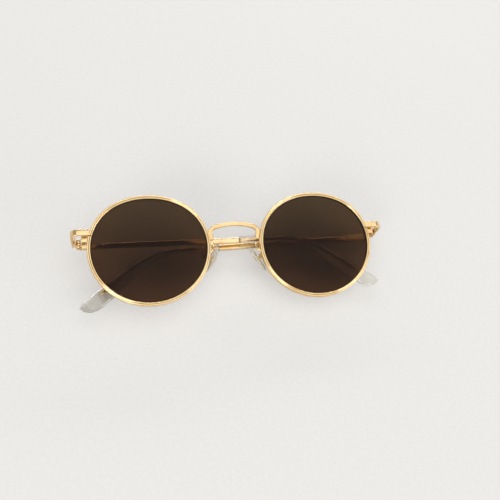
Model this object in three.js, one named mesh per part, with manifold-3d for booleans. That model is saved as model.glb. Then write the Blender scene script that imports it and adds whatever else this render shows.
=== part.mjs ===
// Round metal-rimmed sunglasses, folded and lying on the right temple with the lens fronts up.
// Millimetres. X runs from the left lens to the right one, Y from the chin side to the brow side, Z is up.
import * as THREE from 'three';
import { mergeVertices } from 'three/addons/utils/BufferGeometryUtils.js';
import Module from 'manifold-3d';

const wasm = await Module();
wasm.setup();

const radian = Math.PI / 180;

// Clearances between pieces.
const fitGap = 0.25;
const runGap = 0.2;
const splitGap = 0.4;
const stackGap = 0.8;

// Lenses, measured from bevel tip to bevel tip: an oval whose brow side is flatter than its chin side.
const lensWidth = 51;
const lensHeight = 46.8;
const browFlat = 1.8;
const lensChin = (lensHeight + browFlat) / 2;
const lensSpacing = 76.2;
const lensThickness = 2;
const lensDome = 1.2;
const bevelHeight = 0.6;

// Eyewires: a grooved wire round each lens.
const rimWall = 1.75;
const rimLip = 0.3;
const rimRound = 0.45;
const rimEase = 0.15;
const rimSteps = 64;
const rimInner = fitGap - bevelHeight;
const rimOuter = rimInner + rimWall;
const rimDepth = lensThickness + 2 * rimLip;
const lensMiddle = -rimDepth / 2;

// Bridge: a flat arched band whose ends turn down beside the eyewires.
const bridgeFace = 2;
const bridgeThickness = 1.2;
const bridgeCrown = 9.65;
const bridgeShoulder = 6.4;
const bridgeLegEnd = 2.5;
const bridgeBow = 0.4;
const bridgeLegSink = 1.6;
const bridgePower = 0.3;
const bridgeSteps = 36;
// Points of the arch past the shoulder: shares of the half span, of the rise and of the leg's sink.
const archPoints = [[0.89, 0.5, 0.5], [0.57, 0.82, 0]];

// Endpieces: a band that leaves the eyewire and turns back towards the temple.
const bandRise = 7.7;
const bandHeight = 3;
const bandLift = 0.2;
const bandThickness = 1.2;
const bandSink = 0.2;
const bandReach = 8.1;
const bandBend = 3.2;
const bandSegments = 8;
const faceTilt = 13 * radian;

// Closing blocks and screw that clamp each eyewire round its lens.
const blockHeight = 2.3;
const blockWidth = 2.4;
const blockDepth = 2.2;
const closingScrewRadius = 0.45;
const closingHeadRadius = 0.8;
const closingHeadHeight = 0.5;
const closingGrip = 1.6;

// Hinges: two knuckles on the front, one on the temple, a screw as the pin.
const hingeDepth = 12.9;
const knuckleRadius = 1.1;
const knuckleHeight = 1;
const knuckleSet = 0.65;
const leafThickness = 0.7;
const leafLength = 5.2;
const templeLeafLength = 10.4;
const buttGap = 0.2;
const hingeScrewRadius = 0.55;
const hingeHeadRadius = 0.9;
const hingeHeadHeight = 0.45;
const slotWidth = 0.3;

// Temples: a flat bar that thins to a core wire inside a clear tip.
const templeLength = 146;
const barHeight = 2.7;
const sleeveStart = 73.8;
const sleeveHeight = 3.4;
const sleeveThickness = 2.2;
const paddleAbove = 1.9;
const paddleBelow = 5.2;
const noseLength = 7;
const bendStart = 93;
const earRadius = 34.5;
const earAngle = 37.3 * radian;
const coreHeight = 1.4;
const coreThickness = 0.6;
const coreStep = 0.1;
const coreMargin = 10.8;
const bendSteps = 7;
const paddleSteps = 3;
const overFold = 0.3 * radian;
const leftDroop = -0.5 * radian;
const rightDroop = 1.1 * radian;
// Roundness of the temple's cross-sections, the curve of the paddle's end and the upper edge's share in it.
const barPower = 0.25;
const corePower = 0.5;
const sleevePower = 0.6;
const nosePower = 1.95;
const noseLean = 0.14;
const noseShares = [0.25, 0.5, 0.7, 0.85, 0.94, 0.985];

// Nose pads on wire arms, each held by a small screw in a box.
const padLength = 13;
const padWidth = 7.2;
const padThickness = 1.9;
const padStandOff = 1;
const padDrop = 5.8;
const padSetBack = 6;
const padLean = 31 * radian;
const padSplay = 22 * radian;
const padSides = 24;
const padBackShare = 0.4;
// Pad profile from the nose face to the back: shares of the half width and of the thickness.
const padProfile = [
  [0, -0.6],
  [0.5, -0.52],
  [0.85, -0.28],
  [1, 0.05],
  [0.9, 0.29],
  [0.6, padBackShare],
  [0, padBackShare],
];
const insertWidth = 2.4;
const insertLength = 3.6;
const insertThickness = 0.5;
const postWidth = 1;
const postLength = 2;
const postOver = 0.9;
const padScrewRadius = 0.4;
const padScrewHeight = 2.05;
const padScrewHead = 0.7;
const boxWall = 0.6;
const boxLength = 2.4;
const armRadius = 0.5;
const armFoot = 3;
const armBulge = 1.2;
const armRise = 1.5;
const armBack = 2;
const armSteps = 18;
const armSegments = 5;

// Places that follow from the sizes above.
const rimEdge = lensSpacing / 2 + ovalReach(rimOuter, bandRise);
const bandOuter = rimEdge + bandReach;
const templeOuter = bandThickness + fitGap + leafThickness + knuckleSet;
const templeInner = templeOuter - bandThickness;
const pivotX = bandOuter - templeOuter;
const blockTop = -bandSink - bandThickness - fitGap;
const blockScrewX = (lensSpacing + lensWidth) / 2 + rimOuter + fitGap + closingHeadRadius;
const bandRoot = lensSpacing / 2 + lensWidth / 3;
const bandLow = bandLift - bandHeight / 2;
const splitLevel = bandLow - splitGap / 2;
const knuckleStack = 1.5 * knuckleHeight + runGap;
const coreHigh = -templeInner - coreStep;
const coreLow = coreHigh - coreThickness;
const coreEnd = templeLength - coreMargin;
const padX = lensSpacing / 2 - ovalReach(rimOuter, -padDrop) - padStandOff;
const padBack = padThickness * padBackShare;
const insertFloor = padBack - insertThickness;
const postTop = padScrewHeight + postOver;
const boxFloor = padScrewHeight + Math.hypot(postLength / 2, postOver) + runGap;
const boxTop = boxFloor + boxWall;
const boxHalf = postWidth / 2 + fitGap + boxWall;
const foldReach = 2 * pivotX - sleeveStart;
const foldRise = sleeveThickness + stackGap - foldReach * Math.tan(overFold);
const rightFold = Math.atan2(foldRise, sleeveStart);

const finishes = {
  gold: { color: 0xe0b878, roughness: 0.22, metalness: 1 },
  screw: { color: 0xc9a873, roughness: 0.35, metalness: 1 },
  lens: { color: 0x3d2c22, roughness: 0.06, metalness: 0, transparent: true, opacity: 0.88 },
  clear: { color: 0xe9ddcb, roughness: 0.1, metalness: 0, transparent: true, opacity: 0.4 },
  pad: { color: 0xe6e4de, roughness: 0.25, metalness: 0, transparent: true, opacity: 0.5 },
};

// Sine of the turn at which the lens outline, grown by rho, has a height above its widest line.
function ovalSine(rho, height) {
  let sine = 0;
  for (let i = 0; i < 12; i += 1) {
    sine = (height + browFlat * Math.max(sine, 0) ** 3) / (lensChin + rho);
  }
  return sine;
}

// Half width of the lens outline, grown by rho, at a height above its widest line.
function ovalReach(rho, height) {
  return (lensWidth / 2 + rho) * Math.sqrt(1 - ovalSine(rho, height) ** 2);
}

// Point on the lens outline, grown by rho.
function ovalPoint(rho, turn, z) {
  const sine = Math.sin(turn);
  const flat = browFlat * Math.max(sine, 0) ** 3;
  return [(lensWidth / 2 + rho) * Math.cos(turn), (lensChin + rho) * sine - flat, z];
}

function evenly(from, to, steps) {
  return Array.from({ length: steps + 1 }, (unused, i) => from + ((to - from) * i) / steps);
}

function addMesh(group, name, geometry, finish) {
  const mesh = new THREE.Mesh(geometry, new THREE.MeshStandardMaterial(finishes[finish]));
  mesh.name = name;
  group.add(mesh);
}

// Six times the volume that the faces close in, negative when they face inwards.
function signedVolume(points, faces) {
  return faces.reduce((sum, [a, b, c]) => {
    const [p, q, r] = [points[a], points[b], points[c]].map((point) => new THREE.Vector3(...point));
    return sum + p.dot(q.cross(r));
  }, 0);
}

// Closed skin over a row of rings with the same count of points, capped at both ends.
function skin(rings, capFaces = null) {
  const count = rings[0].length;
  const points = rings.flat();
  const faces = [];
  for (let i = 0; i + 1 < rings.length; i += 1) {
    for (let j = 0; j < count; j += 1) {
      const a = i * count + j;
      const b = i * count + ((j + 1) % count);
      faces.push([a, a + count, b + count], [a, b + count, b]);
    }
  }
  const fan = Array.from({ length: count - 2 }, (unused, j) => [0, j + 1, j + 2]);
  const last = (rings.length - 1) * count;
  (capFaces ?? fan).forEach(([a, b, c]) => {
    faces.push([a, b, c], [last + c, last + b, last + a]);
  });
  const outward = signedVolume(points, faces) > 0;
  const order = faces.flatMap(([a, b, c]) => (outward ? [a, b, c] : [a, c, b]));
  const geometry = new THREE.BufferGeometry();
  geometry.setAttribute('position', new THREE.Float32BufferAttribute(points.flat(), 3));
  geometry.setIndex(order);
  geometry.computeVertexNormals();
  return geometry;
}

function toSolid(geometry) {
  const bare = geometry.clone();
  bare.deleteAttribute('normal');
  bare.deleteAttribute('uv');
  const merged = mergeVertices(bare);
  return new wasm.Manifold(new wasm.Mesh({
    numProp: 3,
    vertProperties: new Float32Array(merged.attributes.position.array),
    triVerts: new Uint32Array(merged.index.array),
  }));
}

function fromSolid(solid) {
  const mesh = solid.getMesh();
  const geometry = new THREE.BufferGeometry();
  geometry.setAttribute('position', new THREE.BufferAttribute(mesh.vertProperties, 3));
  geometry.setIndex(new THREE.BufferAttribute(mesh.triVerts, 1));
  geometry.computeVertexNormals();
  return geometry;
}

// The first shapes joined into one, less all of the cutters.
function shaped(joined, cutters) {
  const whole = joined.map(toSolid).reduce((sum, solid) => sum.add(solid));
  return fromSolid(cutters.map(toSolid).reduce((rest, solid) => rest.subtract(solid), whole));
}

// Box between two corners.
function block(low, high) {
  const size = high.map((value, axis) => value - low[axis]);
  const centre = high.map((value, axis) => (value + low[axis]) / 2);
  return new THREE.BoxGeometry(...size).translate(...centre);
}

// Round rod along Y between two heights.
function rod(radius, low, high, sides = 16) {
  return new THREE.CylinderGeometry(radius, radius, high - low, sides).translate(0, (low + high) / 2, 0);
}

// Soft-edged cross-section: a lower power squares it up.
function section(halfWide, halfThick, power, sides = 12) {
  const reach = Math.cos(Math.PI / sides) ** power;
  const bend = (value) => (Math.sign(value) * Math.abs(value) ** power) / reach;
  return Array.from({ length: sides }, (unused, i) => {
    const turn = ((2 * i + 1) * Math.PI) / sides;
    return [halfWide * bend(Math.cos(turn)), halfThick * bend(Math.sin(turn))];
  });
}

// Grooved ring, open at the split that the closing blocks clamp.
function eyewireShape() {
  const profile = [
    [rimInner + rimEase, 0],
    [rimOuter - rimRound, 0],
    [rimOuter, -rimRound],
    [rimOuter, rimRound - rimDepth],
    [rimOuter - rimRound, -rimDepth],
    [rimInner + rimEase, -rimDepth],
    [rimInner, rimEase - rimDepth],
    [rimInner, lensMiddle - lensThickness / 2],
    [fitGap, lensMiddle],
    [rimInner, lensMiddle + lensThickness / 2],
    [rimInner, -rimEase],
  ];
  const splitRise = bandRise + splitLevel * Math.cos(faceTilt) + lensMiddle * Math.sin(faceTilt);
  const split = Math.asin(ovalSine(0, splitRise));
  const half = splitGap / lensWidth;
  const turns = evenly(split + half, split + 2 * Math.PI - half, rimSteps);
  const rings = turns.map((turn) => profile.map(([rho, z]) => ovalPoint(rho, turn, z)));
  const outline = profile.map(([rho, z]) => new THREE.Vector2(rho, z));
  const caps = THREE.ShapeUtils.triangulateShape(outline, []);
  return skin(rings, caps.map((face) => face.sort((a, b) => a - b)));
}

// Domed lens with a pointed bevel round its edge.
function lensShape() {
  const turns = evenly(0, 2 * Math.PI, rimSteps).slice(0, -1);
  const shares = [0.25, 0.5, 0.75, 1];
  const dome = (share, level) => turns.map((turn) => {
    const [x, y] = ovalPoint(-bevelHeight, turn, 0);
    return [x * share, y * share, level + lensDome * (1 - share * share)];
  });
  const front = shares.map((share) => dome(share, lensMiddle + lensThickness / 2));
  const back = shares.map((share) => dome(share, lensMiddle - lensThickness / 2));
  const tip = turns.map((turn) => ovalPoint(0, turn, lensMiddle));
  return skin([...front, tip, ...back.reverse()]);
}

// Solid oval that takes in a whole eyewire, the gap round it and a depth behind it.
function eyewireCutter(behind) {
  const turns = evenly(0, 2 * Math.PI, rimSteps).slice(0, -1);
  const levels = [fitGap, -rimDepth - behind];
  return skin(levels.map((z) => turns.map((turn) => ovalPoint(rimOuter + fitGap, turn, z))));
}

// Arched band from leg to leg, cut back from both eyewires.
function bridgeShape() {
  const besideRim = (height) => lensSpacing / 2 - ovalReach(rimOuter, height) - fitGap - bridgeFace / 2;
  const shoulderX = besideRim(bridgeShoulder) + fitGap;
  const legMiddle = (bridgeLegEnd + bridgeShoulder) / 2;
  const archRise = bridgeCrown - bridgeShoulder;
  const halfPath = [
    [besideRim(bridgeLegEnd), bridgeLegEnd, -bridgeLegSink],
    [besideRim(legMiddle), legMiddle, -bridgeLegSink * 0.9],
    [shoulderX, bridgeShoulder, -bridgeLegSink * 0.75],
    ...archPoints.map(([span, rise, sink]) => (
      [shoulderX * span, bridgeShoulder + archRise * rise, -bridgeLegSink * sink]
    )),
  ];
  const mirrored = halfPath.map(([x, y, z]) => [-x, y, z]).reverse();
  const path = [...halfPath, [0, bridgeCrown, bridgeBow], ...mirrored];
  const curve = new THREE.CatmullRomCurve3(path.map((point) => new THREE.Vector3(...point)));
  const rings = evenly(0, 1, bridgeSteps).map((share) => {
    const centre = curve.getPoint(share);
    const along = curve.getTangent(share);
    const across = new THREE.Vector3(-along.y, along.x, 0).normalize();
    return section(bridgeFace / 2, bridgeThickness / 2, bridgePower, 8).map(([wide, thick]) => [
      centre.x + across.x * wide,
      centre.y + across.y * wide,
      centre.z - bridgeThickness / 2 + thick,
    ]);
  });
  const cutters = [-1, 1].map((sign) => eyewireCutter(fitGap).translate((sign * lensSpacing) / 2, 0, 0));
  return shaped([skin(rings)], cutters);
}

// Band that runs out from the eyewire and bends back to the hinge.
function endpieceShape(rimCutter) {
  const top = -bandSink;
  const end = buttGap - hingeDepth;
  const inner = bandOuter - bandThickness;
  const outline = new THREE.Shape();
  outline.moveTo(bandRoot, top);
  outline.lineTo(bandOuter - bandBend, top);
  outline.absarc(bandOuter - bandBend, top - bandBend, bandBend, Math.PI / 2, 0, true);
  outline.lineTo(bandOuter, end);
  outline.lineTo(inner, end);
  outline.absarc(bandOuter - bandBend, top - bandBend, bandBend - bandThickness, 0, Math.PI / 2, false);
  outline.lineTo(bandRoot, top - bandThickness);
  const options = { depth: bandHeight, bevelEnabled: false, curveSegments: bandSegments };
  const bent = new THREE.ExtrudeGeometry(outline, options).rotateX(Math.PI / 2);
  return shaped([bent.translate(0, bandLow + bandHeight, 0)], [rimCutter]);
}

// Blocks above and below the eyewire's split, and the screw that draws them together.
function addClosing(group, side, rimCutter) {
  const middle = blockTop - blockDepth / 2;
  const outside = blockScrewX + blockWidth / 2;
  const upperLow = splitLevel + splitGap / 2;
  const lowerHigh = splitLevel - splitGap / 2;
  const lowerLow = lowerHigh - blockHeight;
  const back = blockTop - blockDepth;
  const screwEnd = upperLow + closingGrip;
  const place = (geometry) => geometry.translate(blockScrewX, 0, middle);
  const hole = place(rod(closingScrewRadius + runGap, lowerLow - fitGap, screwEnd + runGap));
  const upper = block([bandRoot, upperLow, back], [outside, upperLow + blockHeight, blockTop]);
  const lower = block([bandRoot, lowerLow, back], [outside, lowerHigh, blockTop]);
  addMesh(group, `closing_block_upper_${side}`, shaped([upper], [rimCutter, hole]), 'gold');
  addMesh(group, `closing_block_lower_${side}`, shaped([lower], [rimCutter, hole]), 'gold');
  const headTop = lowerLow - runGap;
  const headLow = headTop - closingHeadHeight;
  const shank = place(rod(closingScrewRadius, headLow, screwEnd));
  const head = place(rod(closingHeadRadius, headLow, headTop));
  const slot = place(block(
    [-closingHeadRadius - runGap, headLow - runGap, -slotWidth / 2],
    [closingHeadRadius + runGap, headLow + closingHeadHeight / 2, slotWidth / 2],
  ));
  addMesh(group, `closing_screw_${side}`, shaped([shank, head], [slot]), 'screw');
}

// Front half of the hinge, with its pivot on the Y axis.
function frontHingeShape() {
  const leaf = block(
    [knuckleSet, bandLow, buttGap],
    [knuckleSet + leafThickness, bandLow + bandHeight, leafLength],
  );
  const barrel = rod(knuckleRadius, -knuckleStack, knuckleStack);
  const slot = rod(knuckleRadius + runGap, -knuckleHeight / 2 - runGap, knuckleHeight / 2 + runGap);
  const hole = rod(hingeScrewRadius + runGap, -knuckleStack - runGap, knuckleStack + runGap);
  return shaped([leaf, barrel], [slot, hole]);
}

// Temple half of the hinge, with its pivot on the Y axis and the temple running along -X.
function templeHingeShape() {
  const high = barHeight / 2;
  const leaf = block(
    [-templeLeafLength, -high, -knuckleSet - leafThickness],
    [-buttGap, high, -knuckleSet],
  );
  const barrel = rod(knuckleRadius, -knuckleHeight / 2, knuckleHeight / 2);
  const upper = rod(knuckleRadius + runGap, knuckleHeight / 2, knuckleStack + runGap);
  const lower = rod(knuckleRadius + runGap, -knuckleStack - runGap, -knuckleHeight / 2);
  const hole = rod(hingeScrewRadius + runGap, -knuckleStack, knuckleStack);
  return shaped([shaped([leaf], [upper, lower]), barrel], [hole]);
}

function hingeScrewShape() {
  const headLow = knuckleStack + runGap;
  const headTop = headLow + hingeHeadHeight;
  const slot = block(
    [-hingeHeadRadius - runGap, headTop - hingeHeadHeight / 2, -slotWidth / 2],
    [hingeHeadRadius + runGap, headTop + runGap, slotWidth / 2],
  );
  const shank = rod(hingeScrewRadius, -knuckleStack, headTop);
  return shaped([shank, rod(hingeHeadRadius, headLow, headTop)], [slot]);
}

// Place and heading of a temple's centreline at a length from the pivot.
function templePlace(length) {
  const arcTurn = Math.min(Math.max(length - bendStart, 0) / earRadius, earAngle);
  const straight = Math.min(length, bendStart);
  const rest = Math.max(length - bendStart - earRadius * earAngle, 0);
  return {
    x: -straight - earRadius * Math.sin(arcTurn) - rest * Math.cos(arcTurn),
    y: -earRadius * (1 - Math.cos(arcTurn)) - rest * Math.sin(arcTurn),
    turn: arcTurn,
  };
}

// Cross-section of a temple that reaches above and below the centreline, between two levels.
function templeRing(length, above, below, low, high, power) {
  const { x, y, turn } = templePlace(length);
  const middle = (above - below) / 2;
  return section((above + below) / 2, (high - low) / 2, power).map(([wide, thick]) => [
    x - (middle + wide) * Math.sin(turn),
    y + (middle + wide) * Math.cos(turn),
    (low + high) / 2 + thick,
  ]);
}

// Lengths along the bent part of a temple, from the bend to an end.
function bendLengths(end) {
  const arcEnd = bendStart + earRadius * earAngle;
  return [...evenly(bendStart, arcEnd, bendSteps), ...evenly(arcEnd, end, paddleSteps).slice(1)];
}

// Metal bar and the core wire that it thins to.
function templeShape() {
  const bar = [buttGap, sleeveStart].map((length) => (
    templeRing(length, barHeight / 2, barHeight / 2, -templeOuter, -templeInner, barPower)
  ));
  const core = [sleeveStart, ...bendLengths(coreEnd)].map((length) => (
    templeRing(length, coreHeight / 2, coreHeight / 2, coreLow, coreHigh, corePower)
  ));
  return skin([...bar, ...core]);
}

// Clear tip: a sleeve over the core wire that widens to a paddle with a slanting round end.
function tipShape() {
  const noseStart = templeLength - noseLength;
  const mouth = sleeveStart + fitGap;
  const top = sleeveThickness - templeOuter;
  const boreHalf = coreHeight / 2 + runGap;
  const flare = (length) => THREE.MathUtils.smoothstep(length, bendStart, noseStart);
  const widen = (length, paddle) => THREE.MathUtils.lerp(sleeveHeight / 2, paddle, flare(length));
  const body = [mouth, ...bendLengths(noseStart)].map((length) => {
    const above = widen(length, paddleAbove);
    const below = widen(length, paddleBelow);
    return templeRing(length, above, below, -templeOuter, top, sleevePower);
  });
  const nose = noseShares.map((share) => {
    const taper = (1 - share ** nosePower) ** (1 / nosePower);
    const lost = (paddleAbove + paddleBelow) * (1 - taper);
    const above = paddleAbove - lost * noseLean;
    const below = paddleBelow - lost * (1 - noseLean);
    const high = top - (sleeveThickness / 2) * (1 - taper);
    return templeRing(noseStart + noseLength * share, above, below, -templeOuter, high, sleevePower);
  });
  const bore = [mouth, ...bendLengths(coreEnd + fitGap)].map((length) => (
    templeRing(length, boreHalf, boreHalf, coreLow - runGap, coreHigh + runGap, corePower)
  ));
  return skin([...bore.reverse(), ...body, ...nose]);
}

// Frame of a nose pad: Y along the pad, Z away from the nose.
function padMatrix() {
  const along = new THREE.Vector3(-Math.sin(padLean), Math.cos(padLean), 0);
  const level = Math.cos(padSplay);
  const away = new THREE.Vector3(Math.cos(padLean) * level, Math.sin(padLean) * level, Math.sin(padSplay));
  const across = new THREE.Vector3().crossVectors(along, away);
  return new THREE.Matrix4().makeBasis(across, along, away).setPosition(padX, -padDrop, -padSetBack);
}

// Soft oval pad with a pocket in its back for the insert.
function padShape() {
  const outline = padProfile.map(([share, level]) => new THREE.Vector2(share, level));
  const oval = new THREE.LatheGeometry(outline, padSides).rotateX(Math.PI / 2);
  oval.scale(padWidth / 2, padLength / 2, padThickness);
  const pocket = block(
    [-insertWidth / 2 - fitGap, -insertLength / 2 - fitGap, insertFloor - fitGap],
    [insertWidth / 2 + fitGap, insertLength / 2 + fitGap, padThickness],
  );
  return shaped([oval], [pocket]);
}

function alongX(geometry) {
  return geometry.rotateZ(Math.PI / 2).translate(0, 0, padScrewHeight);
}

// Metal plate in the pad's back and the drilled post that stands on it.
function insertShape() {
  const plate = block(
    [-insertWidth / 2, -insertLength / 2, insertFloor],
    [insertWidth / 2, insertLength / 2, padBack],
  );
  const post = block(
    [-postWidth / 2, -postLength / 2, insertFloor],
    [postWidth / 2, postLength / 2, postTop],
  );
  return shaped([plate, post], [alongX(rod(padScrewRadius + runGap, -postWidth, postWidth))]);
}

// Open-sided box that takes the post between its cheeks.
function padBoxShape() {
  const low = padScrewHeight - padScrewRadius - runGap - boxWall / 2;
  const whole = block([-boxHalf, -boxLength / 2, low], [boxHalf, boxLength / 2, boxTop]);
  const channel = block(
    [boxWall - boxHalf, -boxLength, low - fitGap],
    [boxHalf - boxWall, boxLength, boxFloor],
  );
  const hole = alongX(rod(padScrewRadius + runGap, -boxHalf - fitGap, boxHalf + fitGap));
  return shaped([whole], [channel, hole]);
}

function padScrewShape() {
  const headLow = boxHalf + runGap;
  const headTop = headLow + padScrewRadius;
  const shank = alongX(rod(padScrewRadius, -boxHalf, headTop));
  return shaped([shank, alongX(rod(padScrewHead, headLow, headTop))], []);
}

// Wire that leaves the eyewire's nose side, loops up and back, and ends behind the pad box.
function padArmShape(matrix) {
  const footX = lensSpacing / 2 - ovalReach(rimOuter, -armFoot);
  const boxEnd = new THREE.Vector3(0, 0, boxTop + fitGap).applyMatrix4(matrix);
  const boxRise = new THREE.Vector3(0, 0, boxTop + fitGap + armRadius).applyMatrix4(matrix);
  const boxRun = new THREE.Vector3(0, boxLength / 2, boxTop + fitGap + 3 * armRadius).applyMatrix4(matrix);
  const path = new THREE.CatmullRomCurve3([
    new THREE.Vector3(footX + armRadius, -armFoot, lensMiddle),
    new THREE.Vector3(footX - armBulge, -armRise, lensMiddle - armRadius),
    new THREE.Vector3(footX - armBulge, armRise / 2, -rimDepth - armRadius),
    new THREE.Vector3(footX + armRadius, armRise, -rimDepth - armBack),
    boxRun,
    boxRise,
    boxEnd,
  ]);
  const circle = new THREE.Shape().absarc(0, 0, armRadius, 0, 2 * Math.PI, false);
  const options = { steps: armSteps, curveSegments: armSegments, extrudePath: path };
  const wire = new THREE.ExtrudeGeometry(circle, options);
  return shaped([wire], [eyewireCutter(fitGap).translate(lensSpacing / 2, 0, 0)]);
}

function addFrontSide(front, side, sign) {
  const group = new THREE.Group();
  group.scale.x = sign;
  front.add(group);
  const middle = lensSpacing / 2;
  addMesh(group, `eyewire_${side}`, eyewireShape().translate(middle, 0, 0), 'gold');
  addMesh(group, `lens_${side}`, lensShape().translate(middle, 0, 0), 'lens');
  const matrix = padMatrix();
  addMesh(group, `pad_arm_${side}`, padArmShape(matrix), 'gold');
  const padGroup = new THREE.Group();
  padGroup.name = `pad_place_${side}`;
  padGroup.applyMatrix4(matrix);
  group.add(padGroup);
  addMesh(padGroup, `nose_pad_${side}`, padShape(), 'pad');
  addMesh(padGroup, `pad_insert_${side}`, insertShape(), 'gold');
  addMesh(padGroup, `pad_box_${side}`, padBoxShape(), 'gold');
  addMesh(padGroup, `pad_screw_${side}`, padScrewShape(), 'screw');
}

function addWing(lean, side, sign, fold, droop, rimCutter) {
  const group = new THREE.Group();
  group.scale.x = sign;
  lean.add(group);
  addMesh(group, `endpiece_${side}`, endpieceShape(rimCutter), 'gold');
  addClosing(group, side, rimCutter);
  const pivot = new THREE.Group();
  pivot.name = `pivot_place_${side}`;
  pivot.position.set(pivotX, 0, -hingeDepth);
  group.add(pivot);
  addMesh(pivot, `hinge_front_${side}`, frontHingeShape(), 'gold');
  addMesh(pivot, `hinge_screw_${side}`, hingeScrewShape(), 'screw');
  const swing = new THREE.Group();
  swing.rotation.y = -fold;
  pivot.add(swing);
  addMesh(swing, `hinge_temple_${side}`, templeHingeShape(), 'gold');
  const set = new THREE.Group();
  set.rotation.z = droop;
  swing.add(set);
  addMesh(set, `temple_${side}`, templeShape(), 'gold');
  addMesh(set, `temple_tip_${side}`, tipShape(), 'clear');
}

// The front leans so that the right temple lies flat on the floor under the left one.
const root = new THREE.Group();
const lean = new THREE.Group();
lean.rotation.y = rightFold;
root.add(lean);

const front = new THREE.Group();
front.name = 'front_place';
front.rotation.x = faceTilt;
front.position.set(0, -bandRise * Math.cos(faceTilt), -bandRise * Math.sin(faceTilt));
front.updateMatrix();
lean.add(front);
addMesh(front, 'bridge', bridgeShape(), 'gold');
addFrontSide(front, 'left', -1);
addFrontSide(front, 'right', 1);

const wingCutter = eyewireCutter(2 * blockDepth).translate(lensSpacing / 2, 0, 0);
wingCutter.applyMatrix4(front.matrix);
addWing(lean, 'left', -1, -overFold, leftDroop, wingCutter);
addWing(lean, 'right', 1, rightFold, rightDroop, wingCutter);

// The origin is under the middle of the whole object, on the floor.
root.updateMatrixWorld(true);
const bounds = new THREE.Box3().setFromObject(root, true);
const middle = bounds.getCenter(new THREE.Vector3());
lean.position.set(-middle.x, -middle.y, -bounds.min.z);
root.updateMatrixWorld(true);

export default root;
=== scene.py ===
import bmesh
import bpy
import numpy as np
from mathutils import Matrix


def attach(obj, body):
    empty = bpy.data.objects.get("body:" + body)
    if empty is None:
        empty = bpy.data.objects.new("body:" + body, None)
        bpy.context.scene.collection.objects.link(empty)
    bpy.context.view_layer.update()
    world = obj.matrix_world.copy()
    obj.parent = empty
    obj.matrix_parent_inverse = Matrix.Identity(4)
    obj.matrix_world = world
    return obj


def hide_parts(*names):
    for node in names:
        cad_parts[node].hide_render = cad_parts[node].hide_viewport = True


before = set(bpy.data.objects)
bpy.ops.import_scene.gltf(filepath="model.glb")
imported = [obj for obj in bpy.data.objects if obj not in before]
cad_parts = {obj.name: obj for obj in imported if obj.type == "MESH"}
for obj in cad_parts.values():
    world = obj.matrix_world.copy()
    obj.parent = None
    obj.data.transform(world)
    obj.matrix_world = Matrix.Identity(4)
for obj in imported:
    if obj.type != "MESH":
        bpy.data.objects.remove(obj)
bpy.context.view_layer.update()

# Lengths are millimetres until toWorld turns them to metres. Those of the studio, at the end, are metres.
lensSpacing = 76.2  # lens centre to lens centre
lensWidth = 51.0
lensHeight = 46.8
browFlat = 1.8  # how much flatter the brow is than the chin
lensChin = (lensHeight + browFlat) / 2
rimOuter = 1.4  # reach of the rim outside the lens edge
rimInner = -0.35
rimDepth = 2.6
lensMiddle = -rimDepth / 2
templeOuter = 2.8  # hinge axis to the temple's outer face
hingeDepth = 12.9
buttGap = 0.2  # hinge axis to the ends that meet when a temple opens
barHeight = 2.7

placement = {
    "leanDeg": 2.0668317,  # right side down, so that the right temple lies flat
    "leanAt": (0.290325, 8.080919, 18.181836),
    "tiltDeg": 13.0,  # the front tips towards the cheeks
    "bandRise": 7.7,  # hinge line above the lens centres
}
meshing = {
    "weldM": 1e-6,
    "sharpDeg": 40,
    "section": 36,  # points round a flat wire's section
    "roundEnd": 0.97,  # where a half round end stops short of a point
}


# Placement: a turn about one axis by the right-hand rule, then a shift.
def turned(axis, degrees, at=(0, 0, 0)):
    return np.array(Matrix.Translation(at) @ Matrix.Rotation(np.radians(degrees), 4, axis))


# World metres of local points: x is mirrored by the side's sign, then the placement moves them.
def toWorld(points, place, sign=1):
    flipped = np.asarray(points, float) * (sign, 1, 1)
    return (flipped @ place[:3, :3].T + place[:3, 3]) / 1000


tilt = np.radians(placement["tiltDeg"])
bandDrop = -placement["bandRise"] * np.array((0, np.cos(tilt), np.sin(tilt)))
leanPlace = turned("Y", placement["leanDeg"], placement["leanAt"])
frontPlace = leanPlace @ turned("X", placement["tiltDeg"], bandDrop)
alongY = turned("X", -90)  # Z to Y
downY = turned("X", 90)  # Z to -Y
sides = {"left": -1, "right": 1}


# Sine of the outline's angle at a height: the height plus the brow's flattening, over the chin's reach.
def ovalSine(rho, height):
    sine = 0.0
    for step in range(12):  # settles on the flattened brow
        sine = (height + browFlat * max(sine, 0) ** 3) / (lensChin + rho)
    return sine


# Half width of the lens outline grown by rho, at a height: its half width times the cosine there.
def ovalReach(rho, height):
    return (lensWidth / 2 + rho) * np.sqrt(1 - ovalSine(rho, height) ** 2)


# Point of the lens outline grown by rho: x = (a + rho) cos t, y = (b + rho) sin t - flat sin cubed t above.
def ovalPoint(rho, angle, z):
    x = (lensWidth / 2 + rho) * np.cos(angle) + lensSpacing / 2
    y = (lensChin + rho) * np.sin(angle) - browFlat * np.maximum(np.sin(angle), 0) ** 3
    return np.stack(np.broadcast_arrays(x, y, z), -1)


# Superellipse: half sizes times the signed power of cosine and sine; a low power squares it.
def softOval(halfWide, halfThick, power, count=meshing["section"]):
    angle = (np.arange(count) + 0.5) * 2 * np.pi / count
    unit = np.stack([np.cos(angle), np.sin(angle)], -1)
    return np.sign(unit) * np.abs(unit) ** power * (halfWide, halfThick)


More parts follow.
